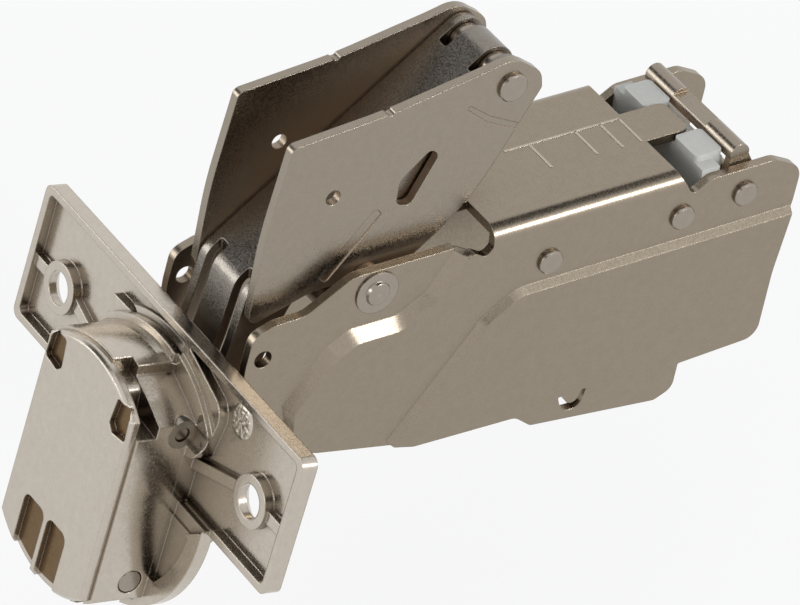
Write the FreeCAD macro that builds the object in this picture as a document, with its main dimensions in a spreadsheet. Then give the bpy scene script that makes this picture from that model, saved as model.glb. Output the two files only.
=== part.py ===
import FreeCAD, Part
import math
import os
from FreeCAD import Placement, Rotation, Vector

# Concealed cup hinge for a furniture door, wide opening, over-closed as it lies unmounted.
# Millimetres. The origin is the middle of the pivot between the arm and the outer links.
# +X runs back along the arm, +Z is square to the arm's web, the near side is -Y.

os.makedirs("parts", exist_ok=True)
doc = FreeCAD.newDocument("cup_hinge")

# Fits
runGap = 0.05
openGap = 0.15

# Arm: one bent sheet, its walls stepped out twice
armSheet = 1.2
recessHalf = 9.67
bandStep = 1.2
panelStep = 0.8
webTop = 5.13
webBend = 1.8
armRear = 59.6
armFoot = -23.4
webFront = 12.4
webRear = armRear - 11.6
catchX = 23.6
catchZ = -1.93
anchorX = armRear - 17.2
anchorZ = -1.14
leverX = armRear - 8.2
leverZ = -0.33
guideX = -1.35
guideZ = -4.66
eyeletX = -15.02
eyeletZ = -5.12
eyeletRadius = 1.17

# Pins
pivotRadius = 1.45
catchRadius = 1.3
headRadius = 1.64
headHeight = 0.6
elbowRadius = 1.5
guidePinRadius = 1.3
cupPinRadius = 1.6
springPinRadius = 1.9
springPinBore = 1.0

# Links
linkSheet = 1.2
outerLinkInner = 5.54
innerLinkHalf = 5.3
guideHalf = 3.6
elbowX = 18.0
elbowZ = 22.3
elbowEye = 4.0
elbowHead = 1.9
linkPress = 0.15
webOffset = 2.8
webLength = 39.0
webAngle = 36.3
tabHalf = 2.4
reliefWidth = 1.6
collarRadius = 2.25
guideEyeX = 15.36
guideEyeZ = 15.32
guideEye = 2.4

# Cup, in its own directions: leaned by cupLean about Y from the arm's
cupLean = 11.5
doorFace = -20.45
flangeThick = 2.1
flangeTop = -7.93
flangeHeight = 18.9
flangeCorner = 1.2
flangeEdge = 1.05
flangeRecess = 1.25
screwHalf = 22.5
flangeEnd = 7.43
flangeHalf = screwHalf + flangeEnd
screwZ = -18.4
screwRadius = 2.1
sinkDepth = 1.0
bossRadius = 3.3
cupCentreZ = -27.7
cupRadius = 17.5
rimDepth = 1.1
rimBack = 0.5
rimWidth = 2.4
shellRadius = 16.4
shellHalf = 10.25
cupDepth = 8.35
cheek = 1.35
mouthTop = -19.2
coverFloor = 0.35
cupPinX = -24.0
cupPinZ = -38.0
springPinX = -22.6
springPinZ = -17.2
coverThick = 1.2
coverRadius = 16.0
coverHalf = 9.8
springWire = 0.9
springTurns = 9
ribHalf = 0.8
ribHeight = 0.8
blindDepth = 0.7

# Release lever and slide at the arm's rear
leverSheet = 1.0
leverBarX = leverX - 0.4
leverBarZ = 4.6
leverBarRadius = 1.35
slideFront = armRear - 14.1
slideLength = 3.9
slideTop = 4.9

sizes = doc.addObject("Spreadsheet::Sheet", "Sizes")
driving = [(alias, size) for alias, size in globals().items() if type(size) in (int, float)]
for row, (alias, size) in enumerate(driving, 1):
    sizes.set("A%d" % row, str(size))
    sizes.setAlias("A%d" % row, alias)
doc.recompute()
bandHalf = recessHalf + bandStep
bodies = []


def bodyNamed(label, place=None):
    body = doc.addObject("PartDesign::Body", label)
    body.Label = label
    if place is not None:
        body.Placement = place
    bodies.append(body)
    return body


def cupBody(label):
    body = bodyNamed(label, Placement(Vector(0, 0, 0), Rotation(Vector(0, 1, 0), cupLean)))
    body.setExpression("Placement.Rotation.Angle", "Sizes.cupLean")
    return body


# A closed outline of corners (u, v) or (u, v, radius)
def corners(points):
    edges = []
    count = len(points)
    ends = []
    for i in range(count):
        here = Vector(points[i][0], points[i][1], 0)
        radius = points[i][2] if len(points[i]) > 2 else 0
        if radius == 0:
            ends.append((here, here, None))
            continue
        back = Vector(points[i - 1][0], points[i - 1][1], 0).sub(here)
        ahead = Vector(points[(i + 1) % count][0], points[(i + 1) % count][1], 0).sub(here)
        half = back.getAngle(ahead) / 2
        reach = min(radius / math.tan(half), 0.48 * back.Length, 0.48 * ahead.Length)
        back.normalize()
        ahead.normalize()
        middle = back.add(ahead).normalize()
        bulge = reach * math.tan(half)
        near = reach / math.cos(half) - bulge
        ends.append((here + back * reach, here + ahead * reach, here + middle * near))
    for i in range(count):
        start, end, mid = ends[i]
        if mid is not None:
            edges.append(Part.Arc(start, mid, end))
        following = ends[(i + 1) % count][0]
        if end.distanceToPoint(following) > 1e-6:
            edges.append(Part.LineSegment(end, following))
    return edges


def circle(u, v, radius):
    return [Part.Circle(Vector(u, v, 0), Vector(0, 0, 1), radius)]


def sketchOn(body, role, loops, shift=None):
    sketch = body.newObject("Sketcher::SketchObject", body.Label + "_outline")
    plane = [f for f in body.Origin.OriginFeatures if f.Role == role][0]
    sketch.AttachmentSupport = [(plane, "")]
    sketch.MapMode = "FlatFace"
    for loop in loops:
        sketch.addGeometry(loop, False)
    if shift is not None:
        sketch.setExpression("AttachmentOffset.Base.z", shift)
    return sketch


def pad(body, sketch, length, middle=False):
    feature = body.newObject("PartDesign::Pad", body.Label + "_pad")
    feature.Profile = sketch
    feature.SideType = "Symmetric" if middle else "One side"
    feature.setExpression("Length", length)
    doc.recompute()
    return feature


def pocket(body, sketch, length, middle=False, back=False):
    feature = body.newObject("PartDesign::Pocket", body.Label + "_pocket")
    feature.Profile = sketch
    feature.SideType = "Symmetric" if middle else "One side"
    feature.setExpression("Length", length)
    feature.Reversed = back
    before = body.Shape.Volume
    doc.recompute()
    if body.Shape.Volume > before - 1e-6:
        raise ValueError("nothing cut in " + body.Label)
    return feature


# A solid between two outlines of as many corners, on planes a step apart
def loft(body, kind, role, first, second, firstShift, secondShift):
    low = sketchOn(body, role, [first], firstShift)
    high = sketchOn(body, role, [second], secondShift)
    feature = body.newObject("PartDesign::" + kind, body.Label + "_step")
    feature.Profile = low
    feature.Sections = [high]
    feature.Ruled = True
    doc.recompute()
    return feature


def mirrored(body, features):
    feature = body.newObject("PartDesign::Mirrored", body.Label + "_mirror")
    feature.Originals = features
    plane = [f for f in body.Origin.OriginFeatures if f.Role == "XZ_Plane"][0]
    feature.MirrorPlane = (plane, [""])
    body.Tip = feature
    doc.recompute()
    return feature


# A turned piece about Y through (x, z), its profile given as (radius, y)
def turned(label, x, z, profile, cup=False):
    place = Placement(Vector(x, 0, z), Rotation())
    if cup:
        lean = Placement(Vector(0, 0, 0), Rotation(Vector(0, 1, 0), cupLean))
        place = lean.multiply(place)
    body = bodyNamed(label, place)
    sketch = sketchOn(body, "XY_Plane", [corners(profile)])
    feature = body.newObject("PartDesign::Revolution", label + "_turn")
    feature.Profile = sketch
    feature.ReferenceAxis = (sketch, ["V_Axis"])
    feature.Angle = 360
    doc.recompute()
    return body


# Both walls' holes, all along Y
def crossHoles(body, holes):
    for u, v, radius in holes:
        pocket(body, sketchOn(body, "XZ_Plane", [circle(u, v, radius)]), "80", True)


# Arm
arm = bodyNamed("arm_channel")
wallTop = 3.15
ear = [(-17.3, -5.7, 2), (-16.6, -1.6, 2), (-13.6, -0.6, 2), (-9.5, -0.5, 3), (-3.4, wallTop, 4),
       (10.4, wallTop), (10.4, -6), (2, -14), (-6, -19.0), (-10.6, -18.9, 1), (-14.5, -15.6, 3),
       (-17.6, -9.5, 3)]
stepUpper = [(-11.8, -13.0), (-6.4, -6.2, 1.5), (-3.4, -4.4, 2), (3.2, -4.4, 3), (7.0, -2.2, 3),
             (10.4, 2.8)]
stepLower = [(-10.6, -14.0), (-5.2, -7.6, 2.5), (-2.6, -6.0, 3), (3.4, -6.0, 3), (8.4, -2.9, 3),
             (11.8, 1.8)]
rim = [(12.6, 2.5, 0.6), (14.2, 1.5, 0.8), (15.2, 2.4, 0.6), (15.2, webTop), (armRear - 18.0, webTop),
       (armRear - 16.0, 1.7, 0.9), (armRear - 13.4, 3.3, 2), (armRear - 4.2, 3.4, 2.5),
       (armRear, 1.2, 2.5), (armRear - 0.6, -3.6, 1), (armRear - 2.7, -13.4, 20),
       (armRear - 3.7, armFoot + 0.6, 2.2), (armRear - 15.2, armFoot, 0.3),
       (armRear - 15.6, -27.0, 1.8), (armRear - 18.1, -28.1, 1.5), (23.2, -26.0, 1.2), (20.9, -24.1, 2),
       (6.4, -23.7, 3), (-6.9, -20.8, 1), (-10.4, -19.6, 1)]
panelUpper = [(2.9, -22.4), (14.6, -7.7, 3), (19.2, -4.6, 4), (60.6, -4.3)]
panelLower = [(3.6, -22.9), (15.2, -8.3, 3), (19.6, -5.4, 4), (60.6, -5.1)]
panelRim = rim[10:18]
panelUpper = panelUpper[:3] + [(armRear - 0.9, -4.3)] + panelRim
panelLower = panelLower[:3] + [(armRear - 1.0, -5.1)] + panelRim

pad(arm, sketchOn(arm, "XZ_Plane", [corners(ear)]), "Sizes.recessHalf * 2", True)
pad(arm, sketchOn(arm, "XZ_Plane", [corners(stepUpper + rim)]), "Sizes.recessHalf * 2", True)
band = loft(arm, "AdditiveLoft", "XZ_Plane", corners(stepUpper + rim), corners(stepLower + rim),
            "Sizes.recessHalf", "Sizes.recessHalf + Sizes.bandStep")
mirrored(arm, [band])
panel = loft(arm, "AdditiveLoft", "XZ_Plane", corners(panelUpper), corners(panelLower),
             "Sizes.recessHalf + Sizes.bandStep", "Sizes.recessHalf + Sizes.bandStep + Sizes.panelStep")
mirrored(arm, [panel])


# The web's two bends, rounded along its length
for hand in (-1, 1):
    centre = bandHalf - webBend
    slope = webBend * math.sqrt(0.5)
    bend = [Part.Arc(Vector(hand * centre, webTop, 0),
                     Vector(hand * (centre + slope), webTop - webBend + slope, 0),
                     Vector(hand * bandHalf, webTop - webBend, 0)),
            Part.LineSegment(Vector(hand * bandHalf, webTop - webBend, 0),
                             Vector(hand * (bandHalf + 3), webTop - webBend, 0)),
            Part.LineSegment(Vector(hand * (bandHalf + 3), webTop - webBend, 0),
                             Vector(hand * (bandHalf + 3), webTop + 3, 0)),
            Part.LineSegment(Vector(hand * (bandHalf + 3), webTop + 3, 0),
                             Vector(hand * centre, webTop + 3, 0)),
            Part.LineSegment(Vector(hand * centre, webTop + 3, 0), Vector(hand * centre, webTop, 0))]
    pocket(arm, sketchOn(arm, "YZ_Plane", [bend]), "45", False, True)

underWeb = webTop - armSheet
inside = [(-40, -60), (80, -60), (80, underWeb), (-40, underWeb)]
pocket(arm, sketchOn(arm, "XZ_Plane", [corners(inside)]), "(Sizes.recessHalf - Sizes.armSheet) * 2", True)
outlineBelow = [(12.4, underWeb - 0.4), (15, underWeb), (80, underWeb), (80, -60), (-10, -60), (-11.6, -16)]
bandCut = loft(arm, "SubtractiveLoft", "XZ_Plane", corners(stepUpper + outlineBelow),
               corners(stepLower + outlineBelow),
               "Sizes.recessHalf - Sizes.armSheet", "Sizes.recessHalf - Sizes.armSheet + Sizes.bandStep")
mirrored(arm, [bandCut])
panelBelow = [(80, -4.3), (80, -60), (-2, -60)]
panelBelowLow = [(80, -5.1), (80, -60), (-1, -60)]
panelCut = loft(arm, "SubtractiveLoft", "XZ_Plane", corners(panelUpper[:3] + panelBelow),
                corners(panelLower[:3] + panelBelowLow),
                "Sizes.recessHalf + Sizes.bandStep - Sizes.armSheet",
                "Sizes.recessHalf + Sizes.bandStep + Sizes.panelStep - Sizes.armSheet")
mirrored(arm, [panelCut])

# Web: a tongue in front, two cut-outs and a tab behind
tongue = [(webFront, -4.5, 0.6), (webFront, 4.5, 0.6), (16, 4.5), (16, -4.5)]
pad(arm, sketchOn(arm, "XY_Plane", [corners(tongue)], "Sizes.webTop - Sizes.armSheet"), "Sizes.armSheet")
tab = [(webRear - 7, -3.0), (webRear - 7, 3.0), (webRear, 3.0, 1.2), (webRear, -3.0, 1.2)]
pad(arm, sketchOn(arm, "XY_Plane", [corners(tab)], "Sizes.webTop - Sizes.armSheet"), "Sizes.armSheet")
pocket(arm, sketchOn(arm, "XZ_Plane", [circle(guideX, guideZ, guidePinRadius)]),
       "(Sizes.recessHalf - Sizes.armSheet + Sizes.blindDepth) * 2", True)
lance = [(26.9, -23.0, 0.2), (27.6, -25.4, 1.4), (30.2, -25.4, 1.4), (31.0, -22.8, 0.2), (30.3, -22.8),
         (29.6, -24.4, 1), (28.3, -24.4, 1), (27.7, -23.0)]
pocket(arm, sketchOn(arm, "XZ_Plane", [corners(lance)]), "80", True)
crossHoles(arm,
           [(0, 0, pivotRadius), (eyeletX, eyeletZ, eyeletRadius), (catchX, catchZ, catchRadius),
            (anchorX, anchorZ, catchRadius), (leverX, leverZ, catchRadius)])

wallInner = recessHalf - armSheet
bandInner = bandHalf - armSheet


# A rivet on one side: head, ring, shank and the shoulder that spaces the link
def pivotRivet(label, side):
    outer = recessHalf
    link = outerLinkInner
    profile = [(0, link), (pivotRadius - 0.05, link), (pivotRadius - 0.05, link + linkSheet + 0.05),
               (2.4, link + linkSheet + 0.05), (2.4, wallInner), (pivotRadius, wallInner),
               (pivotRadius, outer), (2.86, outer), (2.86, outer + 0.25), (headRadius, outer + 0.25),
               (headRadius - 0.2, outer + headHeight), (0, outer + headHeight + 0.05)]
    return turned(label, 0, 0, [(r, side * y) for r, y in profile])


pivotRivet("pivot_rivet_near", -1)
pivotRivet("pivot_rivet_far", 1)


# A through pin with a low head outside each wall
def headedPin(label, x, z, radius, half, head, waist=None, cup=False):
    top = half + headHeight
    profile = [(0, -top), (head - 0.2, -top), (head, -top + 0.2), (head, -half), (radius, -half)]
    if waist is not None:
        profile += [(radius, -waist[1]), (waist[0], -waist[1]), (waist[0], waist[1]), (radius, waist[1])]
    profile += [(radius, half), (head, half), (head, top - 0.2), (head - 0.2, top), (0, top)]
    return turned(label, x, z, profile, cup)


headedPin("catch_pin", catchX, catchZ, catchRadius, bandHalf, headRadius, (2.2, bandInner))
headedPin("anchor_pin", anchorX, anchorZ, catchRadius, bandHalf, headRadius, (1.7, bandInner))
headedPin("lever_pin", leverX, leverZ, catchRadius, bandHalf, headRadius)
guidePinHalf = wallInner + blindDepth
turned("guide_arm_pin", guideX, guideZ,
       [(0, -guidePinHalf), (guidePinRadius, -guidePinHalf), (guidePinRadius, guidePinHalf),
        (0, guidePinHalf)])

# Outer links: two stamped plates
linkOutline = [(-15.7, -2.3, 1), (-14.5, 9.5, 60), (-11.75, 22.0, 1), (1.2, 23.1, 60),
               (elbowX - 4.0, elbowZ + 3.1, 8),
               (elbowX, elbowZ + elbowEye, 4), (elbowX + elbowEye, elbowZ + 1, 3.2),
               (elbowX + elbowEye + 0.3, elbowZ - 1.3, 0.8),
               (13.6, 6.6, 30), (2.9, -1.2), (0, 0.2), (-2.9, 0.3), (-7, 0.3, 4)]


def outerLink(label, shift, face, far):
    body = bodyNamed(label)
    pad(body, sketchOn(body, "XZ_Plane", [corners(linkOutline)], shift), "Sizes.linkSheet")
    pad(body, sketchOn(body, "XZ_Plane", [circle(0, 0, 2.95)], shift), "Sizes.linkSheet")
    crossHoles(body, [(0, 0, pivotRadius), (elbowX, elbowZ, elbowRadius), (-5.5, 13.3, 1.0)])
    leaf = [(7.6, 16.4, 0.8), (8.8, 15.2, 1), (5.4, 9.0, 1), (3.4, 9.6, 1), (3.6, 13.0, 2)]
    pocket(body, sketchOn(body, "XZ_Plane", [corners(leaf)]), "80", True)
    pocket(body, sketchOn(body, "XZ_Plane", [circle(1.4, 23.5, 0.6)]), "80", True)
    crease = [(elbowX - 6.0, elbowZ - 1.6, 0.3), (elbowX - 3.0, elbowZ - 4.2, 3),
              (elbowX + 1.4, elbowZ - 6.5), (elbowX + 12, elbowZ - 8), (elbowX + 12, elbowZ - 7),
              (elbowX + 1.6, elbowZ - 5.7), (elbowX - 2.6, elbowZ - 3.5, 3),
              (elbowX - 5.6, elbowZ - 1.2, 0.3)]
    groove = [(1.7, 8.9, 0.5), (0.6, 9.9, 0.5), (-6.5, 2.0, 0.5), (-5.4, 1.0, 0.5)]
    for outline in (crease, groove):
        pocket(body, sketchOn(body, "XZ_Plane", [corners(outline)], face), "Sizes.linkPress", False, far)
    return body


outerLink("outer_link_near", "Sizes.outerLinkInner", "Sizes.outerLinkInner + Sizes.linkSheet", False)
outerLink("outer_link_far", "-Sizes.outerLinkInner - Sizes.linkSheet",
          "-Sizes.outerLinkInner - Sizes.linkSheet", True)
elbowHalf = outerLinkInner + linkSheet
collar = [(elbowRadius, -tabHalf - reliefWidth + runGap * 2),
          (collarRadius, -tabHalf - reliefWidth + runGap * 2), (collarRadius, -tabHalf - runGap * 2),
          (elbowRadius, -tabHalf - runGap * 2)]
elbowSide = [(0, -elbowHalf - headHeight), (elbowHead - 0.2, -elbowHalf - headHeight),
             (elbowHead, -elbowHalf - headHeight + 0.2), (elbowHead, -elbowHalf),
             (elbowRadius, -elbowHalf)] + collar
turned("elbow_pin", elbowX, elbowZ, elbowSide + [(r, -y) for r, y in reversed(elbowSide)])

# Inner link: a bent channel, its web out, its ears down into the cup
webLean = math.radians(webAngle)
along = Vector(math.cos(webLean), math.sin(webLean), 0)
inward = Vector(math.sin(webLean), -math.cos(webLean), 0)
webBase = Vector(elbowX, elbowZ, 0) - along * webLength - inward * webOffset


def onWeb(s, depth):
    point = webBase + along * s + inward * depth
    return (point.x, point.y)


lean = math.radians(cupLean)


def fromCup(x, z):
    return (x * math.cos(lean) + z * math.sin(lean), -x * math.sin(lean) + z * math.cos(lean))


legOuter = [(-15.4, -9.0), (-16.3, -18.2), (-19.6, -22.6), (-26.2, -30.0), (-27.0, -37.5)]
legInner = [(-21.2, -39.0), (-20.8, -31.0), (-15.6, -25.0), (-11.2, -18.0), (-9.8, -9.0)]
legIn = [(-14.1, -9.0), (-15.0, -18.8), (-18.8, -23.5), (-24.9, -30.5), (-25.0, -34.0), (-23.0, -34.0)]
linkSide = [onWeb(webLength, 0), onWeb(0, 0) + (3,)]
linkSide += [fromCup(x, z) + (4,) for x, z in legOuter + legInner]
linkSide += [onWeb(3, 6.3) + (3,), onWeb(31, 6.8) + (3,), onWeb(36.5, 9.6)]
hollow = [onWeb(60, linkSheet), onWeb(0.5, linkSheet) + (2,)]
hollow += [fromCup(x, z) + (3,) for x, z in legIn]
hollow += [fromCup(-23, -60), fromCup(20, -60), (60, -40), (60, 60)]
inner = bodyNamed("inner_link")
pad(inner, sketchOn(inner, "XZ_Plane", [corners(linkSide)]), "Sizes.innerLinkHalf * 2", True)
cupPin = fromCup(cupPinX, cupPinZ)
for x, z, radius in [(elbowX, elbowZ, webOffset), (guideEyeX, guideEyeZ, 2.7), (cupPin[0], cupPin[1], 3.1)]:
    pad(inner, sketchOn(inner, "XZ_Plane", [circle(x, z, radius)]), "Sizes.innerLinkHalf * 2", True)
pocket(inner, sketchOn(inner, "XZ_Plane", [corners(hollow)]),
       "(Sizes.innerLinkHalf - Sizes.linkSheet) * 2", True)
# Relief slots beside the middle tab at both ends of the web, and the tab rolled round the elbow pin
for left, right, top, depth in [(-20.5, -13.2, 4.5, "17"), (elbowX - 3.6, elbowX + 6, elbowZ + 8, "9.5")]:
    for low, high in [(tabHalf, tabHalf + reliefWidth), (-tabHalf - reliefWidth, -tabHalf)]:
        slot = [(left, low, 0.3), (right, low, 0.3), (right, high, 0.3), (left, high, 0.3)]
        pocket(inner, sketchOn(inner, "XY_Plane", [corners(slot)], "%f" % top), depth)
pad(inner, sketchOn(inner, "XZ_Plane", [circle(elbowX, elbowZ, webOffset)]), "Sizes.tabHalf * 2", True)
crossHoles(inner, [(elbowX, elbowZ, elbowRadius + runGap), (guideEyeX, guideEyeZ, guidePinRadius),
                   (cupPin[0], cupPin[1], cupPinRadius + runGap)])
turned("guide_link_pin", guideEyeX, guideEyeZ,
       [(0, -innerLinkHalf), (guidePinRadius, -innerLinkHalf), (guidePinRadius, innerLinkHalf),
        (0, innerLinkHalf)])

# Guide link between the arm and the inner link
guide = bodyNamed("guide_link")
guideRun = Vector(guideEyeX - guideX, guideEyeZ - guideZ, 0)
guideLength = guideRun.Length
guideRun.normalize()
side = Vector(-guideRun.y, guideRun.x, 0)
start = Vector(guideX, guideZ, 0)
bar = [start + side * 1.9, start + guideRun * guideLength + side * 1.9,
       start + guideRun * guideLength - side * 1.9, start - side * 1.9]
pad(guide, sketchOn(guide, "XZ_Plane", [corners([(p.x, p.y) for p in bar])]), "Sizes.guideHalf * 2", True)
for x, z in [(guideX, guideZ), (guideEyeX, guideEyeZ)]:
    pad(guide, sketchOn(guide, "XZ_Plane", [circle(x, z, guideEye)]), "Sizes.guideHalf * 2", True)
waist = [start + guideRun * 4.5 + side * 5, start + guideRun * (guideLength - 4.5) + side * 5,
         start + guideRun * (guideLength - 4.5) - side * 5, start + guideRun * 4.5 - side * 5]
pocket(guide, sketchOn(guide, "XZ_Plane", [corners([(p.x, p.y) for p in waist])], "Sizes.guideHalf - 1.2"),
       "20", False, True)
pocket(guide, sketchOn(guide, "XZ_Plane", [corners([(p.x, p.y) for p in waist])], "1.2 - Sizes.guideHalf"),
       "20", False, False)
crossHoles(guide, [(guideX, guideZ, guidePinRadius + runGap),
                   (guideEyeX, guideEyeZ, guidePinRadius + openGap)])

# Cup casting
cup = cupBody("cup_casting")
flangeLow = flangeTop - flangeHeight
flange = [(-flangeHalf, flangeLow, flangeCorner), (flangeHalf, flangeLow, flangeCorner),
          (flangeHalf, flangeTop, flangeCorner), (-flangeHalf, flangeTop, flangeCorner)]
pad(cup, sketchOn(cup, "YZ_Plane", [corners(flange)], "Sizes.doorFace"), "Sizes.flangeThick")
pad(cup, sketchOn(cup, "YZ_Plane", [circle(0, cupCentreZ, cupRadius)], "Sizes.doorFace - Sizes.rimDepth"),
    "Sizes.rimDepth + Sizes.rimBack")


# A straight-sided plan with round ends about the cup's centre
def roundEnded(half, radius):
    reach = math.sqrt(radius * radius - half * half)
    top = cupCentreZ + radius
    low = cupCentreZ - radius
    return [Part.LineSegment(Vector(half, cupCentreZ - reach, 0), Vector(half, cupCentreZ + reach, 0)),
            Part.Arc(Vector(half, cupCentreZ + reach, 0), Vector(0, top, 0),
                     Vector(-half, cupCentreZ + reach, 0)),
            Part.LineSegment(Vector(-half, cupCentreZ + reach, 0),
                             Vector(-half, cupCentreZ - reach, 0)),
            Part.Arc(Vector(-half, cupCentreZ - reach, 0), Vector(0, low, 0),
                     Vector(half, cupCentreZ - reach, 0))]


pad(cup, sketchOn(cup, "YZ_Plane", [roundEnded(shellHalf, shellRadius)], "Sizes.doorFace - Sizes.cupDepth"),
    "Sizes.flangeThick + Sizes.cupDepth")
shellSide = shellHalf + 0.01
recessRadius = cupRadius - rimWidth
recessFoot = cupCentreZ - 9.9
recessHead = cupCentreZ - 1.0
for hand in (-1, 1):
    # The plate's recess: down past the shell onto the disc, round a low island on the near side
    if hand < 0:
        island = [(12.3, -19.5, 1.5), (13.4, -13.2, 2.5), (12.2, -11.6, 2),
                  (4.6, flangeTop - flangeEdge - 0.2, 0.3)]
    else:
        island = [(shellSide, -15.2), (12.0, flangeTop - flangeEdge - 3)]
    outline = [(flangeHalf - flangeEdge, flangeTop - flangeEdge, 0.8),
               (flangeHalf - flangeEdge, flangeLow + flangeEdge, 0.8), (17.6, flangeLow + flangeEdge, 0.5),
               (17.0, flangeLow), (shellSide, flangeLow), (shellSide, -20.2)] + island
    outline.append((island[-1][0], flangeTop - flangeEdge))
    floor = [(hand * point[0],) + tuple(point[1:]) for point in outline]
    pocket(cup, sketchOn(cup, "YZ_Plane", [corners(floor), circle(hand * screwHalf, screwZ, bossRadius)],
                         "Sizes.doorFace - Sizes.rimDepth"), "Sizes.flangeRecess + Sizes.rimDepth",
                         False, True)
    # The lower recess between the shell and the disc's rim, in two depths
    shelf = [(hand * 16.8, flangeLow + 0.01), (hand * 14.2, recessHead - 0.01),
             (hand * shellSide, recessHead - 0.01), (hand * shellSide, flangeLow + 0.01)]
    pocket(cup, sketchOn(cup, "YZ_Plane", [corners(shelf)], "Sizes.doorFace - Sizes.rimDepth"),
           "Sizes.rimDepth", False, True)
    foot = math.sqrt(recessRadius ** 2 - (recessFoot - cupCentreZ) ** 2)
    head = math.sqrt(recessRadius ** 2 - (recessHead - cupCentreZ) ** 2)
    turn = math.radians(-22)
    ends = [Vector(hand * shellSide, recessHead, 0), Vector(hand * head, recessHead, 0),
            Vector(hand * foot, recessFoot, 0), Vector(hand * shellSide, recessFoot, 0)]
    middle = Vector(hand * recessRadius * math.cos(turn), cupCentreZ + recessRadius * math.sin(turn), 0)
    lower = [Part.LineSegment(ends[0], ends[1]), Part.Arc(ends[1], middle, ends[2]),
             Part.LineSegment(ends[2], ends[3]), Part.LineSegment(ends[3], ends[0])]
    pocket(cup, sketchOn(cup, "YZ_Plane", [lower], "Sizes.doorFace - Sizes.rimDepth"),
           "Sizes.rimDepth - 0.2", False, True)
    rib = [(hand * (shellHalf - 0.5), screwZ - 3.2 - ribHalf), (hand * (screwHalf - 2.5), screwZ - ribHalf),
           (hand * (flangeHalf - 0.5), screwZ - ribHalf), (hand * (flangeHalf - 0.5), screwZ + ribHalf),
           (hand * (screwHalf - 2.5), screwZ + ribHalf), (hand * (shellHalf - 0.5), screwZ - 3.2 + ribHalf)]
    pad(cup, sketchOn(cup, "YZ_Plane", [corners(rib)],
                      "Sizes.doorFace + Sizes.flangeRecess - Sizes.ribHeight"),
        "Sizes.ribHeight + 0.5")
# The recess goes on above the shell, and the near shoulder of the shell is lower than the cover
top = [(-3.4, flangeTop - flangeEdge, 0.3), (-3.4, cupCentreZ + shellRadius - 0.1),
       (0, cupCentreZ + shellRadius + 0.4), (6.0, cupCentreZ + shellRadius - 0.7),
       (12.4, flangeTop - flangeEdge - 3.2), (12.4, flangeTop - flangeEdge)]
pocket(cup, sketchOn(cup, "YZ_Plane", [corners(top)], "Sizes.doorFace"), "Sizes.flangeRecess", False, True)
shoulder = [(-3.4, -10.0), (-3.4, -13.0), (-6.9, -14.3, 4), (-shellHalf - 0.2, -15.9), (-13, -15.9),
            (-13, -10.0)]
pocket(cup, sketchOn(cup, "YZ_Plane", [corners(shoulder)], "Sizes.doorFace - Sizes.cupDepth"),
       "Sizes.cupDepth - 0.6", False, True)
overhang = [(-1.8, -10.0), (-1.8, -13.2), (-5.0, -13.6, 1), (-5.4, -17.0, 1), (-13, -17.6), (-13, -10.0)]
pocket(cup, sketchOn(cup, "YZ_Plane", [corners(overhang)], "Sizes.doorFace - Sizes.cupDepth"), "2.6",
       False, True)
mouthHalf = shellHalf - cheek
mouth = [(-mouthHalf, mouthTop, 1.5), (mouthHalf, mouthTop, 1.5), (mouthHalf, -42.2, 1), (6.4, -42.2),
         (6.4, -50), (-6.4, -50), (-6.4, -42.2), (-mouthHalf, -42.2, 1)]
pocket(cup, sketchOn(cup, "YZ_Plane", [corners(mouth)], "Sizes.doorFace - Sizes.cupDepth"), "20", False,
       True)
roomHalf = springTurns * springWire / 2 + 0.25
springRoom = [(-roomHalf, springPinZ - 5), (roomHalf, springPinZ - 5), (roomHalf, springPinZ + 3.0, 0.5),
              (-roomHalf, springPinZ + 3.0, 0.5)]
pocket(cup, sketchOn(cup, "YZ_Plane", [corners(springRoom)], "Sizes.doorFace - Sizes.cupDepth"),
       "Sizes.cupDepth + 1.0", False, True)
crossHoles(cup, [(cupPinX, cupPinZ, cupPinRadius), (springPinX, springPinZ, springPinRadius)])
for hand in (-1, 1):
    pocket(cup, sketchOn(cup, "YZ_Plane", [circle(hand * screwHalf, screwZ, screwRadius)],
                         "Sizes.doorFace - 5"),
           "20", False, True)
    loft(cup, "SubtractiveLoft", "YZ_Plane", circle(hand * screwHalf, screwZ, screwRadius),
         circle(hand * screwHalf, screwZ, screwRadius + sinkDepth),
         "Sizes.doorFace + Sizes.flangeThick - Sizes.sinkDepth", "Sizes.doorFace + Sizes.flangeThick")

# Cover under the cup, with its windows
cover = cupBody("damper_housing")
pad(cover, sketchOn(cover, "YZ_Plane", [roundEnded(coverHalf, coverRadius)],
                    "Sizes.doorFace - Sizes.cupDepth - Sizes.coverThick"), "Sizes.coverThick")
coverFace = doorFace - cupDepth - coverThick
plate = cover.Tip
rimEdges = []
for i, edge in enumerate(plate.Shape.Edges):
    if edge.BoundBox.XLength < 1e-3 and abs(edge.BoundBox.XMax - coverFace) < 1e-3:
        rimEdges.append("Edge%d" % (i + 1))
bevel = cover.newObject("PartDesign::Chamfer", "cover_bevel")
bevel.Base = (plate, rimEdges)
bevel.Size = 0.4
doc.recompute()
for shift, turn in [(7.4, 1), (-7.5, -1)]:
    kite = [(shift + turn * 0.9, -14.0, 0.5), (shift - turn * 1.4, -13.9, 0.5),
            (shift - turn * 1.8, -17.6, 0.5), (shift - turn * 0.9, -18.4, 0.4),
            (shift + turn * 1.9, -18.0, 0.4), (shift + turn * 1.7, -15.0, 0.5)]
    pocket(cover, sketchOn(cover, "YZ_Plane", [corners(kite)],
                           "Sizes.doorFace - Sizes.cupDepth - Sizes.coverThick"),
           "Sizes.coverThick - Sizes.coverFloor", False, True)
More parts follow.
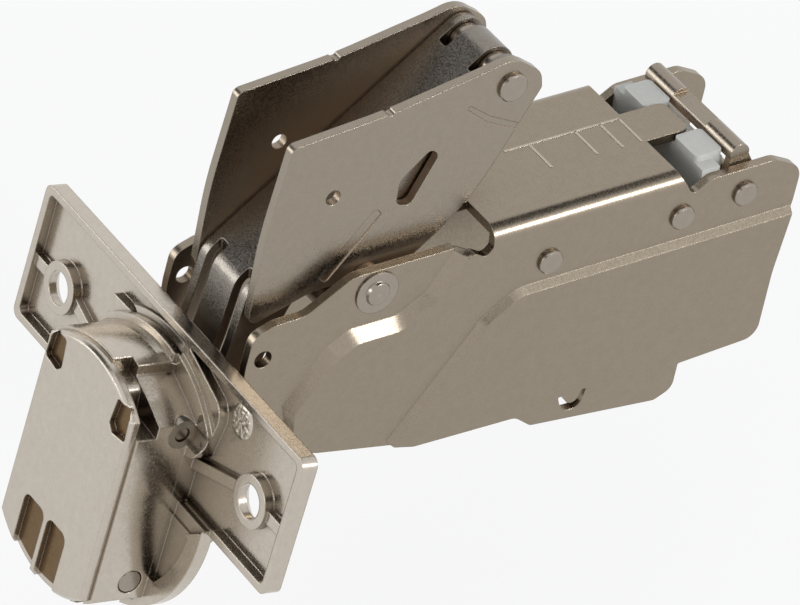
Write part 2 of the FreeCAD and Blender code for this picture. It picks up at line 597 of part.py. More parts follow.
for low, high in [(1.1, 5.8), (-4.0, 0.4)]:
    trough = [(low, -50), (high, -50), (high, -35.2, 1.2), (low, -35.2, 1.2)]
    pocket(cover, sketchOn(cover, "YZ_Plane", [corners(trough)],
                           "Sizes.doorFace - Sizes.cupDepth - Sizes.coverThick"),
           "Sizes.coverThick - Sizes.coverFloor", False, True)

turned("cup_link_pin", cupPinX, cupPinZ,
       [(0, -shellHalf), (cupPinRadius - 0.2, -shellHalf), (cupPinRadius, -shellHalf + 0.2),
        (cupPinRadius, shellHalf - 0.2), (cupPinRadius - 0.2, shellHalf), (0, shellHalf)], True)
turned("spring_pin", springPinX, springPinZ,
       [(springPinBore, -shellHalf), (springPinRadius, -shellHalf), (springPinRadius, shellHalf),
        (springPinBore, shellHalf)], True)

# Closing spring: a close-wound coil on the hollow pin, turned as one scalloped sleeve
coilInner = springPinRadius + runGap
springHalf = springTurns * springWire / 2
sleeve = [Part.LineSegment(Vector(coilInner, springHalf, 0), Vector(coilInner, -springHalf, 0))]
for turn in range(springTurns):
    low = -springHalf + turn * springWire
    crown = Vector(coilInner + springWire * 0.95, low + springWire / 2, 0)
    valley = coilInner + springWire * 0.5
    if turn == 0:
        sleeve.append(Part.LineSegment(Vector(coilInner, low, 0), Vector(valley, low, 0)))
    sleeve.append(Part.Arc(Vector(valley, low, 0), crown, Vector(valley, low + springWire, 0)))
sleeve.append(Part.LineSegment(Vector(valley, springHalf, 0), Vector(coilInner, springHalf, 0)))
springPlace = Placement(Vector(0, 0, 0), Rotation(Vector(0, 1, 0), cupLean))
spring = bodyNamed("closing_spring",
                   springPlace.multiply(Placement(Vector(springPinX, 0, springPinZ), Rotation())))
springSketch = sketchOn(spring, "XY_Plane", [sleeve])
springTurn = spring.newObject("PartDesign::Revolution", "closing_spring_turn")
springTurn.Profile = springSketch
springTurn.ReferenceAxis = (springSketch, ["V_Axis"])
springTurn.Angle = 360
doc.recompute()

# Release lever and plastic slide
lever = bodyNamed("release_lever")
leverSide = [(leverX - 2.3, leverZ - 2.3, 2), (leverX + 2.3, leverZ - 2.3, 2),
             (leverX + 2.3, leverZ + 2, 1.5), (leverBarX + 1.2, leverBarZ),
             (leverBarX - 1.2, leverBarZ), (leverX - 2.3, leverZ + 1.5, 2)]
plateOuter = bandInner - 0.3
for low in ("%f" % (plateOuter - leverSheet), "%f" % -plateOuter):
    pad(lever, sketchOn(lever, "XZ_Plane", [corners(leverSide)], low), "Sizes.leverSheet")
    if low.startswith("-"):
        break
    pad(lever, sketchOn(lever, "XZ_Plane", [circle(leverBarX, leverBarZ, leverBarRadius)]),
        "%f" % (plateOuter * 2), True)
groove = [(leverBarX - 4, -3.5), (leverBarX + 4, -3.5), (leverBarX + 4, 3.5), (leverBarX - 4, 3.5)]
pocket(lever, sketchOn(lever, "XY_Plane", [corners(groove)], "Sizes.leverBarZ + 0.7"), "10", False, True)
crossHoles(lever, [(leverX, leverZ, catchRadius + runGap)])

slide = bodyNamed("plastic_slide")
slideRear = slideFront + slideLength
slideFoot = -4.2
slideCore = bandInner - 1.6
wide = [(slideFront, slideFoot, 0.5), (slideRear - 1.4, slideFoot), (slideRear - 1.4, underWeb),
        (slideFront, underWeb)]
pad(slide, sketchOn(slide, "XZ_Plane", [corners(wide)]),
    "(Sizes.recessHalf + Sizes.bandStep - Sizes.armSheet) * 2", True)
core = [(slideFront + 0.5, slideFoot), (slideRear, slideFoot, 0.5), (slideRear, underWeb),
        (slideFront + 0.5, underWeb)]
pad(slide, sketchOn(slide, "XZ_Plane", [corners(core)]),
    "(Sizes.recessHalf + Sizes.bandStep - Sizes.armSheet - 1.6) * 2",
    True)
for low, high in [(3.2, slideCore), (-slideCore, -3.2)]:
    lug = [(slideFront, low, 0.6), (slideRear, low, 0.6), (slideRear, high, 0.6), (slideFront, high, 0.6)]
    pad(slide, sketchOn(slide, "XY_Plane", [corners(lug)]), "Sizes.slideTop")

doc.recompute()
problems = []
for obj in doc.Objects:
    if "Invalid" in obj.State or "Error" in obj.State:
        problems.append("%s %s" % (obj.Name, obj.State))
for body in bodies:
    shape = body.Shape
    if shape.isNull() or not shape.isValid() or shape.Volume <= 0:
        problems.append(body.Label + " has no valid solid")
if problems:
    raise ValueError("; ".join(problems))
for body in bodies:
    body.Shape.exportStep("parts/" + body.Label + ".step")
    print(body.Label, len(body.Shape.Solids), round(body.Shape.Volume, 1))
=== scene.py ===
import math

import bmesh
import bpy
from mathutils import Matrix, Vector, noise


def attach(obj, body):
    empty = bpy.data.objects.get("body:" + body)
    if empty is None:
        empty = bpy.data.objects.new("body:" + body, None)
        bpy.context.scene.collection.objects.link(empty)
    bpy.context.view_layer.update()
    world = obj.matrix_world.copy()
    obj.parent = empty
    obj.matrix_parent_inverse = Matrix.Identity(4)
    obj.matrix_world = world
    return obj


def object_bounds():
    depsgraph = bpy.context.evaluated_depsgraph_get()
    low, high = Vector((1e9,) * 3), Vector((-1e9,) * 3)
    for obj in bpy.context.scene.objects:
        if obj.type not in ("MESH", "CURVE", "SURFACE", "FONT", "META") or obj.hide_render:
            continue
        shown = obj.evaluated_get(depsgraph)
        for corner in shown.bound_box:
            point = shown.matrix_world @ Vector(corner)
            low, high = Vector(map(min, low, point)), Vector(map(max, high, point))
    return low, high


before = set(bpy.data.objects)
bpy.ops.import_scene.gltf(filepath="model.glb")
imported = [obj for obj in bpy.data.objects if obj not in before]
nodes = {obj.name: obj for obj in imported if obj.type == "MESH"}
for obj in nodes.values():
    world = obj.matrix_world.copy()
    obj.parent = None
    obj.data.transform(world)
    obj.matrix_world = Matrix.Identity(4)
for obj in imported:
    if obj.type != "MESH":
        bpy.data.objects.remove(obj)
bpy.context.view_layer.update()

scene = bpy.context.scene
mm = 0.001
cupLean = math.radians(11.5)  # what the cup leans to the arm in the photographed position


# sRGB hex to linear colour
def colour(code):
    channels = [int(code[i:i + 2], 16) / 255 for i in (1, 3, 5)]
    return [c / 12.92 if c <= 0.04045 else ((c + 0.055) / 1.055) ** 2.4 for c in channels] + [1.0]


# A node with its settings, and its inputs either as values or linked from another node's output
def node(tree, kind, spot, inputs=None, **settings):
    made = tree.nodes.new(kind)
    made.location = spot
    for key, value in settings.items():
        setattr(made, key, value)
    for key, value in (inputs or {}).items():
        if isinstance(value, bpy.types.NodeSocket):
            tree.links.new(value, made.inputs[key])
        else:
            made.inputs[key].default_value = value
    return made


# What all the metals share: lengths in mm, grains to a mm
metalGrain = {
    "cloud": 0.9,  # patches of the two tones
    "cloudDetail": 6,
    "cloudRoughness": 0.7,
    "fineDetail": 3,
    "fineLow": 0.3,  # the stretch of the fine grain that the roughness follows
    "fineHigh": 0.7,
    "smoother": 0.05,
    "rougher": 0.07,
    "height": 0.03,
    "edgeRays": 4,
    "cornerRays": 8,
    "cornerReach": 14,  # how near another wall has to be for the painted corner shade
    "cornerDark": 0.15,
    "cornerClear": 0.65,
}


# Metal of two clouded tones, with a roughness that follows its grain, softened edges and painted shade in
# the
# corners: the film colour is mixed in by ambient occlusion where another wall is near, with a duller
# roughness there. The real grain is too fine to show, so it is drawn about 0.3 mm wide
def metal(name, dark, light, rough, grain, bump, edge, film="#6f5e4b", dull=0.4):
    material = bpy.data.materials.new(name)
    material.use_nodes = True
    tree = material.node_tree
    shader = tree.nodes["Principled BSDF"]
    shader.inputs["Metallic"].default_value = 1.0
    place = node(tree, "ShaderNodeTexCoord", (-1100, 0)).outputs["Object"]
    cloud = node(tree, "ShaderNodeTexNoise", (-720, 200), {
        "Vector": place,
        "Scale": metalGrain["cloud"] / mm,
        "Detail": metalGrain["cloudDetail"],
        "Roughness": metalGrain["cloudRoughness"],
    })
    fine = node(tree, "ShaderNodeTexNoise", (-720, -100), {
        "Vector": place,
        "Scale": grain / mm,
        "Detail": metalGrain["fineDetail"],
    })
    tone = node(tree, "ShaderNodeMix", (-480, 200), {
        "Factor": cloud.outputs["Fac"],
        "A": colour(dark),
        "B": colour(light),
    }, data_type="RGBA")
    corner = node(tree, "ShaderNodeAmbientOcclusion", (-480, 420), {
        "Distance": metalGrain["cornerReach"] * mm,
    }, samples=metalGrain["cornerRays"])
    shade = node(tree, "ShaderNodeMapRange", (-260, 420), {
        "Value": corner.outputs["AO"],
        "From Min": metalGrain["cornerDark"],
        "From Max": metalGrain["cornerClear"],
    })
    # Painted shade: the film colour darkens the corners where ambient occlusion finds another wall near;
    # a film paler than the metal paints light there instead
    paintedCornerShade = node(tree, "ShaderNodeMix", (-60, 300), {
        "Factor": shade.outputs["Result"],
        "A": colour(film),
        "B": tone.outputs["Result"],
    }, data_type="RGBA")
    gloss = node(tree, "ShaderNodeMapRange", (-480, -20), {
        "Value": fine.outputs["Fac"],
        "From Min": metalGrain["fineLow"],
        "From Max": metalGrain["fineHigh"],
        "To Min": rough - metalGrain["smoother"],
        "To Max": rough + metalGrain["rougher"],
    })
    dulled = node(tree, "ShaderNodeMix", (-60, 0), {
        "Factor": shade.outputs["Result"],
        "A": dull,
        "B": gloss.outputs["Result"],
    }, data_type="FLOAT")
    soft = node(tree, "ShaderNodeBevel", (-480, -420), {
        "Radius": edge * mm,
    }, samples=metalGrain["edgeRays"])
    relief = node(tree, "ShaderNodeBump", (-240, -260), {
        "Strength": bump,
        "Distance": metalGrain["height"] * mm,
        "Height": fine.outputs["Fac"],
        "Normal": soft.outputs["Normal"],
    })
    tree.links.new(paintedCornerShade.outputs["Result"], shader.inputs["Base Color"])
    tree.links.new(dulled.outputs["Result"], shader.inputs["Roughness"])
    tree.links.new(relief.outputs["Normal"], shader.inputs["Normal"])
    return material


# Nickel over pressed steel: a warm grey satin that blurs what it mirrors
pressedSteel = metal("nickelPressedSteel", "#8e8374", "#9c9182",
                     rough=0.27, grain=3.2, bump=0.22, edge=0.2, dull=0.35)
# The same plating on the outer links and the lever: a little brighter, with painted light in the corners
# (a pale brown film colour) and a duller roughness there
linkSteel = metal("nickelLinkSteel", "#90877a", "#9e9487",
                  rough=0.25, grain=3.2, bump=0.18, edge=0.2, film="#b69c80", dull=0.7)
# Tumbled steel of the inner and guide links: greyer, with a coarse grit that breaks its reflections
innerSteel = metal("tumbledLinkSteel", "#77716a", "#98928a", rough=0.27, grain=3.6, bump=1.0, edge=0.2)
# Nickel over die-cast zinc: the palest and smoothest metal, with painted shade in its recesses
castZinc = metal("nickelZincCasting", "#b6ada0", "#cac2b6",
                 rough=0.21, grain=3.0, bump=0.14, edge=0.3, film="#5f5245", dull=0.25)
# Ground and riveted pins: round heads with a small bright spot
pinSteel = metal("groundPinSteel", "#948b80", "#a39a8f",
                 rough=0.22, grain=3.0, bump=0.15, edge=0.16, dull=0.3)
# Drawn spring wire and its hollow pin: plain grey, bright along each turn
springSteel = metal("springWireSteel", "#8e8980", "#aaa49a", rough=0.3, grain=3.0, bump=0.1, edge=0.05)
# Raised marks on the web, paler than the plating round them
markSteel = metal("paleMarkSteel", "#ada395", "#c2b9ab",
                  rough=0.2, grain=3.0, bump=0.1, edge=0.08, dull=0.3)
# Floors down in the cover's windows: a brown that paints their shade and warm reflections, with painted
# shade darker still at the edges
windowPaintedShade = metal("windowShadeAndReflectionBrown", "#5f4b33", "#7a6244",
                    rough=0.26, grain=3.0, bump=0.12, edge=0.05, film="#261c10")

# White moulded plastic of the slide: lengths in mm, grains to a mm
slidePlastic = {
    "dark": "#bfbfba",
    "light": "#cdcdc8",
    "rough": 0.42,
    "grain": 1.2,
    "bump": 0.1,
    "height": 0.02,
    "glow": 0.25,
    "glowReach": (0.6, 0.7, 0.8),
}


# A soft matt white that lets in a little light
def plastic(name, look):
    material = bpy.data.materials.new(name)
    material.use_nodes = True
    tree = material.node_tree
    shader = tree.nodes["Principled BSDF"]
    place = node(tree, "ShaderNodeTexCoord", (-800, 0)).outputs["Object"]
    grain = node(tree, "ShaderNodeTexNoise", (-600, 0), {"Vector": place, "Scale": look["grain"] / mm})
    tone = node(tree, "ShaderNodeMix", (-380, 100), {
        "Factor": grain.outputs["Fac"],
        "A": colour(look["dark"]),
        "B": colour(look["light"]),
    }, data_type="RGBA")
    relief = node(tree, "ShaderNodeBump", (-200, -200), {
        "Strength": look["bump"],
        "Distance": look["height"] * mm,
        "Height": grain.outputs["Fac"],
    })
    tree.links.new(tone.outputs["Result"], shader.inputs["Base Color"])
    tree.links.new(relief.outputs["Normal"], shader.inputs["Normal"])
    shader.inputs["Roughness"].default_value = look["rough"]
    shader.inputs["Subsurface Weight"].default_value = look["glow"]
    shader.inputs["Subsurface Radius"].default_value = [reach * mm for reach in look["glowReach"]]
    shader.inputs["Subsurface Scale"].default_value = 1.0
    return material


whiteMoulded = plastic("whiteMouldedPlastic", slidePlastic)

finishes = {
    "arm_channel": pressedSteel,
    "pivot_rivet_near": pinSteel,
    "pivot_rivet_far": pinSteel,
    "catch_pin": pinSteel,
    "anchor_pin": pinSteel,
    "lever_pin": pinSteel,
    "guide_arm_pin": pinSteel,
    "outer_link_near": linkSteel,
    "outer_link_far": linkSteel,
    "elbow_pin": pinSteel,
    "inner_link": innerSteel,
    "guide_link_pin": pinSteel,
    "guide_link": innerSteel,
    "cup_casting": castZinc,
    "damper_housing": castZinc,
    "cup_link_pin": pinSteel,
    "spring_pin": springSteel,
    "closing_spring": springSteel,
    "release_lever": linkSteel,
    "plastic_slide": whiteMoulded,
}
for label, cad in nodes.items():
    cad.data.materials.clear()
    cad.data.materials.append(finishes[label])
print("materials set")


# A mesh from bmesh geometry, with one material, riding on a body
def piece(label, geometry, material, body):
    mesh = bpy.data.meshes.new(label)
    geometry.to_mesh(mesh)
    geometry.free()
    made = bpy.data.objects.new(label, mesh)
    scene.collection.objects.link(made)
    mesh.materials.append(material)
    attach(made, body)


# A block with its centre and sides in mm, along the arm's directions or along turned ones
def block(centre, sides, turned=Matrix()):
    made = bmesh.new()
    spot = Matrix.Translation(Vector(centre) * mm)
    stretch = Matrix.Diagonal((*(Vector(sides) * mm), 1))
    bmesh.ops.create_cube(made, size=1.0, matrix=turned @ spot @ stretch)
    return made


# Scale marks pressed into the arm's web: a line, and ticks that stand off it to the near side
scaleMarks = {
    "lineY": 2.25,
    "start": 24.6,
    "end": 41.1,
    "ticks": [28.15, 34.7, 38.3, 41.05],
    "tickLength": 5.1,
    "width": 0.34,
    "raise": 0.05,
    "top": 5.13,
}


def scaleTree():
    tree = bpy.data.node_groups.new("scaleTicks", "GeometryNodeTree")
    tree.interface.new_socket(name="Geometry", in_out="INPUT", socket_type="NodeSocketGeometry")
    for label in ("Width", "Tick length", "Height"):
        tree.interface.new_socket(name=label, in_out="INPUT", socket_type="NodeSocketFloat")
    tree.interface.new_socket(name="Geometry", in_out="OUTPUT", socket_type="NodeSocketGeometry")
    start = node(tree, "NodeGroupInput", (-600, 0))
    size = node(tree, "ShaderNodeCombineXYZ", (-400, -200), {
        "X": start.outputs["Width"],
        "Y": start.outputs["Tick length"],
        "Z": start.outputs["Height"],
    })
    bar = node(tree, "GeometryNodeMeshCube", (-200, -200), {"Size": size.outputs["Vector"]})
    put = node(tree, "GeometryNodeInstanceOnPoints", (0, 0), {
        "Points": start.outputs["Geometry"],
        "Instance": bar.outputs["Mesh"],
    })
    real = node(tree, "GeometryNodeRealizeInstances", (200, 0), {"Geometry": put.outputs["Instances"]})
    paint = node(tree, "GeometryNodeSetMaterial", (400, 0), {
        "Geometry": real.outputs["Geometry"],
        "Material": markSteel,
    })
    node(tree, "NodeGroupOutput", (600, 0), {"Geometry": paint.outputs["Geometry"]})
    return tree


# A plain mesh from a tree that is fed with points
def baked(label, points, tree, values, body):
    mesh = bpy.data.meshes.new(label + "Points")
    mesh.from_pydata(points, [], [])
    carrier = bpy.data.objects.new(label + "Points", mesh)
    scene.collection.objects.link(carrier)
    modifier = carrier.modifiers.new("nodes", "NODES")
    modifier.node_group = tree
    for socket in tree.interface.items_tree:
        if socket.in_out == "INPUT" and socket.name in values:
            modifier[socket.identifier] = values[socket.name]
    depsgraph = bpy.context.evaluated_depsgraph_get()
    result = bpy.data.meshes.new_from_object(carrier.evaluated_get(depsgraph))
    made = bpy.data.objects.new(label, result)
    scene.collection.objects.link(made)
    bpy.data.objects.remove(carrier)
    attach(made, body)


markMiddle = scaleMarks["top"] + scaleMarks["raise"] / 2
tickMiddle = scaleMarks["lineY"] - scaleMarks["tickLength"] / 2
ticks = [(x * mm, tickMiddle * mm, markMiddle * mm) for x in scaleMarks["ticks"]]
baked("scaleTicks", ticks, scaleTree(), {
    "Width": scaleMarks["width"] * mm,
    "Tick length": scaleMarks["tickLength"] * mm,
    "Height": scaleMarks["raise"] * mm,
}, "arm")
length = scaleMarks["end"] - scaleMarks["start"]
line = block((scaleMarks["start"] + length / 2, scaleMarks["lineY"], markMiddle),
             (length, scaleMarks["width"], scaleMarks["raise"]))
piece("scaleLine", line, markSteel, "arm")
print("web marks made")

# What the casting has is placed in the cup's own directions: x towards the arm, y across, z up the flange
lean = Matrix.Rotation(cupLean, 4, "Y")

# Webs that close the slit between the flange's lower edge and the back of the disc
diskWeb = {"y": (10.4, 16.9), "z": (-28.5, -26.6), "x": (-19.96, -19.0), "edge": 0.25, "edgeSteps": 3}
for hand, side in ((-1, "Near"), (1, "Far")):
    centre = (sum(diskWeb["x"]) / 2, hand * sum(diskWeb["y"]) / 2, sum(diskWeb["z"]) / 2)
    web = block(centre, [diskWeb[axis][1] - diskWeb[axis][0] for axis in "xyz"], lean)
    bmesh.ops.bevel(web, geom=web.edges[:], offset=diskWeb["edge"] * mm,
                    segments=diskWeb["edgeSteps"], affect="EDGES")
    piece("diskWeb" + side, web, castZinc, "cup")

# The fairing that flares from the shell into the flange, a hollow curve swept round the cup's centre.
# Its turns are in degrees from the top of the cup, and it fades out over the last of them
fairing = {
    "centre": -27.7,
    "far": 40,
    "near": -15,
    "fade": 9,
    "shell": 16.3,  # radius of the shell, then of the fairing's foot
    "foot": 17.9,
    "flare": 1.0,  # what the foot has gained at the flare's turn
    "flareTurn": 42,
    "start": -24.6,  # the curve's ends: on the shell, then over the flange
    "end": -19.25,
    "lip": 0.05,
    "fadedRise": 0.2,  # share of the curve that is left where it has faded
    "sunk": 0.25,  # how deep its hidden wall sits in the shell
    "short": 0.2,  # and what that wall stops short of the curve's start
    "steps": 48,
    "curveSteps": 10,
}


def fairingRow(turn):
    fade = min(1, (turn - fairing["near"]) / fairing["fade"])
    flared = fairing["flare"] * (turn / fairing["flareTurn"]) ** 2
    reach = (fairing["foot"] - fairing["shell"] + flared) * fade * (2 - fade)
    rise = fairing["fadedRise"] + (1 - fairing["fadedRise"]) * fade
    start = fairing["end"] + (fairing["start"] - fairing["end"]) * rise
    inside = fairing["shell"] - fairing["sunk"]
    flange = fairing["end"] + fairing["lip"]
    section = [(inside, flange), (inside, start + fairing["short"])]
    for step in range(fairing["curveSteps"] + 1):
        swing = step / fairing["curveSteps"] * math.pi / 2
        section.append((fairing["shell"] + reach * (1 - math.cos(swing)),
                        start + (fairing["end"] - start) * math.sin(swing)))
    section.append((fairing["shell"] + reach, flange))
    across, up = math.sin(math.radians(turn)), math.cos(math.radians(turn))
    return [lean @ (Vector((x, radius * across, fairing["centre"] + radius * up)) * mm)
            for radius, x in section]


flare = bmesh.new()
sections = []
for step in range(fairing["steps"] + 1):
    turn = fairing["far"] + (fairing["near"] - fairing["far"]) * step / fairing["steps"]
    sections.append([flare.verts.new(spot) for spot in fairingRow(turn)])
for first, second in zip(sections, sections[1:]):
    for i in range(len(first)):
        after = (i + 1) % len(first)
        flare.faces.new((first[i], second[i], second[after], first[after]))
flare.faces.new(sections[0])
flare.faces.new(sections[-1])
bmesh.ops.recalc_face_normals(flare, faces=flare.faces)
for face in flare.faces:
    face.smooth = len(face.verts) == 4
piece("fairing", flare, castZinc, "cup")

# A rough round pad on the flange's near half, low petals round a core, with grit over both
roughPad = {
    "y": -15.8,
    "z": -11.9,
    "floor": -19.2,
    "radius": 2.2,
    "height": 0.3,
    "core": 0.55,  # share of the height, to which petals and grit add
    "petals": 9,
    "petalRise": 0.25,
    "gritRise": 0.35,
    "gritOut": 9,
    "gritRound": 4,
    "edgeSlope": 5,  # the outer fifth falls to the flange
    "rings": 12,
    "steps": 48,
    "weld": 0.001,
}


def padHeight(share, angle):
    petal = 0.5 + 0.5 * math.cos(roughPad["petals"] * angle)
    across, up = math.cos(angle) * roughPad["gritRound"], math.sin(angle) * roughPad["gritRound"]
    grit = noise.noise(Vector((share * roughPad["gritOut"], across, up)))
    rough = roughPad["core"] + roughPad["petalRise"] * petal * share + roughPad["gritRise"] * grit
    return roughPad["height"] * min(1, (1 - share) * roughPad["edgeSlope"]) * rough


pad = bmesh.new()
rows = []
for ring in range(roughPad["rings"] + 1):
    share = ring / roughPad["rings"]
    reach = roughPad["radius"] * share
    row = []
    for step in range(roughPad["steps"]):
        angle = step * math.tau / roughPad["steps"]
        y = roughPad["y"] + reach * math.cos(angle)
        z = roughPad["z"] + reach * math.sin(angle)
        spot = Vector((roughPad["floor"] - padHeight(share, angle), y, z))
        row.append(pad.verts.new(lean @ (spot * mm)))
    rows.append(row)
for inner, outer in zip(rows, rows[1:]):
    for step in range(roughPad["steps"]):
        after = (step + 1) % roughPad["steps"]
        pad.faces.new((inner[step], outer[step], outer[after], inner[after]))
bmesh.ops.remove_doubles(pad, verts=pad.verts, dist=roughPad["weld"] * mm)
bmesh.ops.recalc_face_normals(pad, faces=pad.faces)
piece("roughPad", pad, castZinc, "cup")
print("webs, fairing and pad made")

# Floors down in the cover's windows, in the brown of painted shade and reflection: two mirrored kites,
# and two troughs that run out at its foot.
# A kite has its y and its hand, and the outline has each corner's distance from that y, with its z
windows = {
    "floor": -29.15,
    "thick": 0.06,
    "inset": 0.12,
    "kites": [(7.4, 1), (-7.5, -1)],
    "kiteOutline": [(0.9, -14.0), (-1.4, -13.9), (-1.8, -17.6),
                    (-0.9, -18.4), (1.9, -18.0), (1.7, -15.0)],
    "troughs": [(1.1, 5.8), (-4.0, 0.4)],
    "troughHead": -35.2,
    "footCentre": -27.7,
    "footRadius": 15.4,
    "footSteps": 6,
}


def windowPlate(label, outline):
    plate = bmesh.new()
    middle = sum((Vector(point) for point in outline), Vector((0, 0))) / len(outline)
    levels = []
    for depth in (0, windows["thick"]):
        ring = []
        for point in outline:
            flat = Vector(point) - middle
            flat *= 1 - windows["inset"] / max(flat.length, 1)
            spot = Vector((windows["floor"] - depth, middle.x + flat.x, middle.y + flat.y))
            ring.append(plate.verts.new(lean @ (spot * mm)))
        levels.append(ring)
    plate.faces.new(levels[0])
    plate.faces.new(levels[1])
    for i in range(len(outline)):
        after = (i + 1) % len(outline)
        plate.faces.new((levels[0][i], levels[1][i], levels[1][after], levels[0][after]))
    bmesh.ops.recalc_face_normals(plate, faces=plate.faces)
    piece(label, plate, windowPaintedShade, "cup")


for number, (shift, hand) in enumerate(windows["kites"], 1):
    outline = [(shift + hand * off, z) for off, z in windows["kiteOutline"]]
    windowPlate("kiteFloor%d" % number, outline)
for number, (near, far) in enumerate(windows["troughs"], 1):
    outline = [(near, windows["troughHead"]), (far, windows["troughHead"])]
    for step in range(windows["footSteps"] + 1):
        y = far + (near - far) * step / windows["footSteps"]
        outline.append((y, windows["footCentre"] - math.sqrt(windows["footRadius"] ** 2 - y ** 2)))
    windowPlate("troughFloor%d" % number, outline)
print("window floors made")

# The rivet's inner end, seen down the hollow spring pin
pinEnd = {
    "x": -22.6,
    "y": 9.75,
    "z": -17.2,
    "radius": 0.98,
    "length": 0.5,
    "edge": 0.12,
    "edgeSteps": 2,
    "facets": 32,
}
across = Matrix.Rotation(math.radians(90), 4, "X")
for hand, side in ((-1, "Near"), (1, "Far")):
    plug = bmesh.new()
    spot = Vector((pinEnd["x"], hand * pinEnd["y"], pinEnd["z"])) * mm
    bmesh.ops.create_cone(plug, cap_ends=True, segments=pinEnd["facets"], radius1=pinEnd["radius"] * mm,
                          radius2=pinEnd["radius"] * mm, depth=pinEnd["length"] * mm,
                          matrix=lean @ Matrix.Translation(spot) @ across)
    rim = [edge for edge in plug.edges if max(len(face.verts) for face in edge.link_faces) > 4]
    bmesh.ops.bevel(plug, geom=rim, offset=pinEnd["edge"] * mm,
                    segments=pinEnd["edgeSteps"], affect="EDGES")
    piece("pinEnd" + side, plug, pinSteel, "cup")
print("cup pieces made")


# One for what is seen straight, mirrored or through glass, and nought for the light that falls on things
def seenShare(tree):
    rays = node(tree, "ShaderNodeLightPath", (-900, 200))
    mirrored = node(tree, "ShaderNodeMath", (-700, 200), {
        0: rays.outputs["Is Camera Ray"],
        1: rays.outputs["Is Glossy Ray"],
    }, operation="MAXIMUM")
    through = node(tree, "ShaderNodeMath", (-500, 200), {
        0: mirrored.outputs["Value"],
        1: rays.outputs["Is Transmission Ray"],
    }, operation="MAXIMUM")
    return through.outputs["Value"]


# The floor reaches 3 m each way and lies below the cup's lowest place when the hinge is open
paleFloor = {
    "reach": 3.0,
    "drop": 23.5,  # mm below the hinge at rest
    "colour": "#fbfbfb",
    "rough": 0.9,
    "white": 0.75,  # share of plain white in what is seen of it
}
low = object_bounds()[0]
ground = bmesh.new()
bmesh.ops.create_grid(ground, x_segments=1, y_segments=1, size=paleFloor["reach"])
groundMesh = bpy.data.meshes.new("floor")
ground.to_mesh(groundMesh)
ground.free()
floor = bpy.data.objects.new("floor", groundMesh)
floor.location = (0, 0, low[2] - paleFloor["drop"] * mm)
scene.collection.objects.link(floor)
paper = bpy.data.materials.new("paleFloor")
paper.use_nodes = True
paperTree = paper.node_tree
paperShader = paperTree.nodes["Principled BSDF"]
paperShader.inputs["Base Color"].default_value = colour(paleFloor["colour"])
paperShader.inputs["Roughness"].default_value = paleFloor["rough"]
whiteShare = node(paperTree, "ShaderNodeMath", (-140, 300), {
    0: seenShare(paperTree),
    1: paleFloor["white"],
}, operation="MULTIPLY")
whiteLight = node(paperTree, "ShaderNodeEmission", (-140, -300))
paperMix = node(paperTree, "ShaderNodeMixShader", (120, 0), {
    0: whiteShare.outputs["Value"],
    1: paperShader.outputs["BSDF"],
    2: whiteLight.outputs["Emission"],
})
paperTree.links.new(paperMix.outputs["Shader"], paperTree.nodes["Material Output"].inputs["Surface"])
floor.data.materials.append(paper)

# A world that lights softly and shows as plain white
studioSky = {"fill": "#f4f6f8", "strength": 0.68, "seen": "#ffffff", "seenStrength": 1.0}
world = scene.world or bpy.data.worlds.new("studio")
scene.world = world
world.use_nodes = True
sky = world.node_tree
sky.nodes.clear()
fill = node(sky, "ShaderNodeBackground", (-200, 0), {
    "Color": colour(studioSky["fill"]),
    "Strength": studioSky["strength"],
})
white = node(sky, "ShaderNodeBackground", (-200, -200), {
    "Color": colour(studioSky["seen"]),
    "Strength": studioSky["seenStrength"],
})
choose = node(sky, "ShaderNodeMixShader", (0, 0), {
    0: seenShare(sky),
    1: fill.outputs["Background"],
    2: white.outputs["Background"],
})
node(sky, "ShaderNodeOutputWorld", (200, 0), {"Surface": choose.outputs["Shader"]})

# Soft lamps, each turned to the hinge: place and width in metres, power in watts
lamps = {
    "key": {"at": (0.44, -0.8, 0.32), "size": 0.34, "power": 3.8},
    "back": {"at": (-0.75, 0.6, 0.2), "size": 0.55, "power": 1.7},
    "side": {"at": (-0.8, -0.2, 0.35), "size": 0.4, "power": 1.2},
}
lampTallness = 0.7  # as a share of the width
for label, lamp in lamps.items():
    light = bpy.data.lights.new(label, "AREA")
    light.shape = "RECTANGLE"
    light.size = lamp["size"]
    light.size_y = lamp["size"] * lampTallness
    light.energy = lamp["power"]
    holder = bpy.data.objects.new(label, light)
    holder.location = lamp["at"]
    holder.rotation_euler = (-Vector(lamp["at"])).to_track_quat("-Z", "Y").to_euler()
    scene.collection.objects.link(holder)

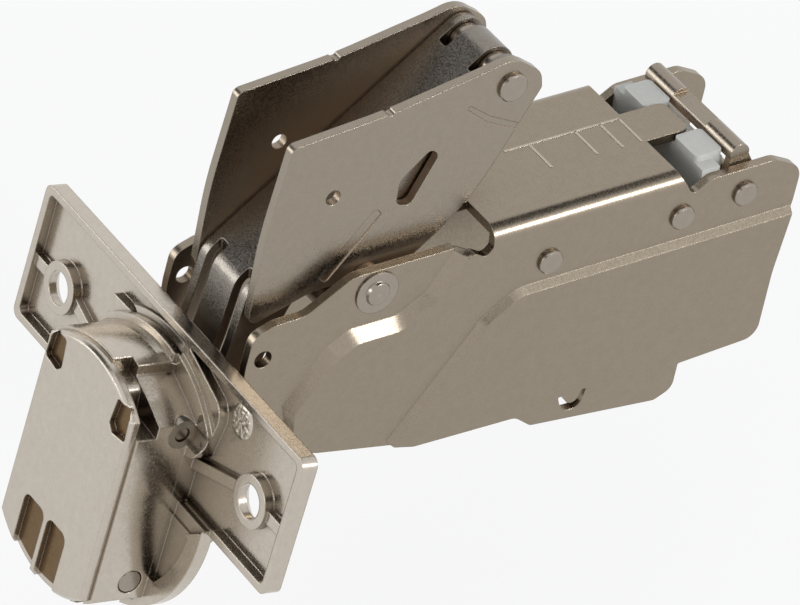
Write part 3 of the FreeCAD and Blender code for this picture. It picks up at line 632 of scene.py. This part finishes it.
# Dark cards that only the metal reflects: place and size in metres
cards = {
    "cardTop": {"at": (0.28, -0.05, 0.8), "size": (0.9, 0.55)},
    "cardBack": {"at": (-0.42, 0.62, 0.62), "size": (0.4, 0.45)},
    "cardFront": {"at": (-0.42, -0.6, 0.52), "size": (0.4, 0.3)},
}
cardPaint = {"colour": "#1c1a18", "rough": 0.9}
black = bpy.data.materials.new("blackCard")
black.use_nodes = True
blackShader = black.node_tree.nodes["Principled BSDF"]
blackShader.inputs["Base Color"].default_value = colour(cardPaint["colour"])
blackShader.inputs["Roughness"].default_value = cardPaint["rough"]
for label, card in cards.items():
    sheet = bmesh.new()
    bmesh.ops.create_grid(sheet, x_segments=1, y_segments=1, size=0.5)  # a metre wide, then scaled
    sheetMesh = bpy.data.meshes.new(label)
    sheet.to_mesh(sheetMesh)
    sheet.free()
    sheetMesh.materials.append(black)
    board = bpy.data.objects.new(label, sheetMesh)
    board.location = card["at"]
    board.rotation_euler = (-Vector(card["at"])).to_track_quat("Z", "Y").to_euler()
    board.scale = (card["size"][0], card["size"][1], 1)
    board.visible_camera = False
    board.visible_diffuse = False
    board.visible_shadow = False
    scene.collection.objects.link(board)

# The camera where the photograph was taken from, with its directions to the right, down and ahead
photoView = {
    "right": (0.84810294, -0.52194229, 0.09109146),
    "down": (-0.2510036, -0.54720809, -0.79847386),
    "ahead": (0.46660326, 0.65432374, -0.59509818),
    "at": (-0.35222486, -0.50847845, 0.45104568),
    "lens": 292.5,
    "film": 36,
    "nearest": 0.01,
}
lens = bpy.data.cameras.new("photoCamera")
lens.lens = photoView["lens"]
lens.sensor_width = photoView["film"]
lens.clip_start = photoView["nearest"]
camera = bpy.data.objects.new("photoCamera", lens)
axes = zip(photoView["right"], photoView["down"], photoView["ahead"], photoView["at"])
turns = [(right, -down, -ahead, at) for right, down, ahead, at in axes]
camera.matrix_world = Matrix(turns + [(0, 0, 0, 1)])
scene.collection.objects.link(camera)
scene.camera = camera
scene.view_settings.view_transform = "Standard"
print("stage and camera set")
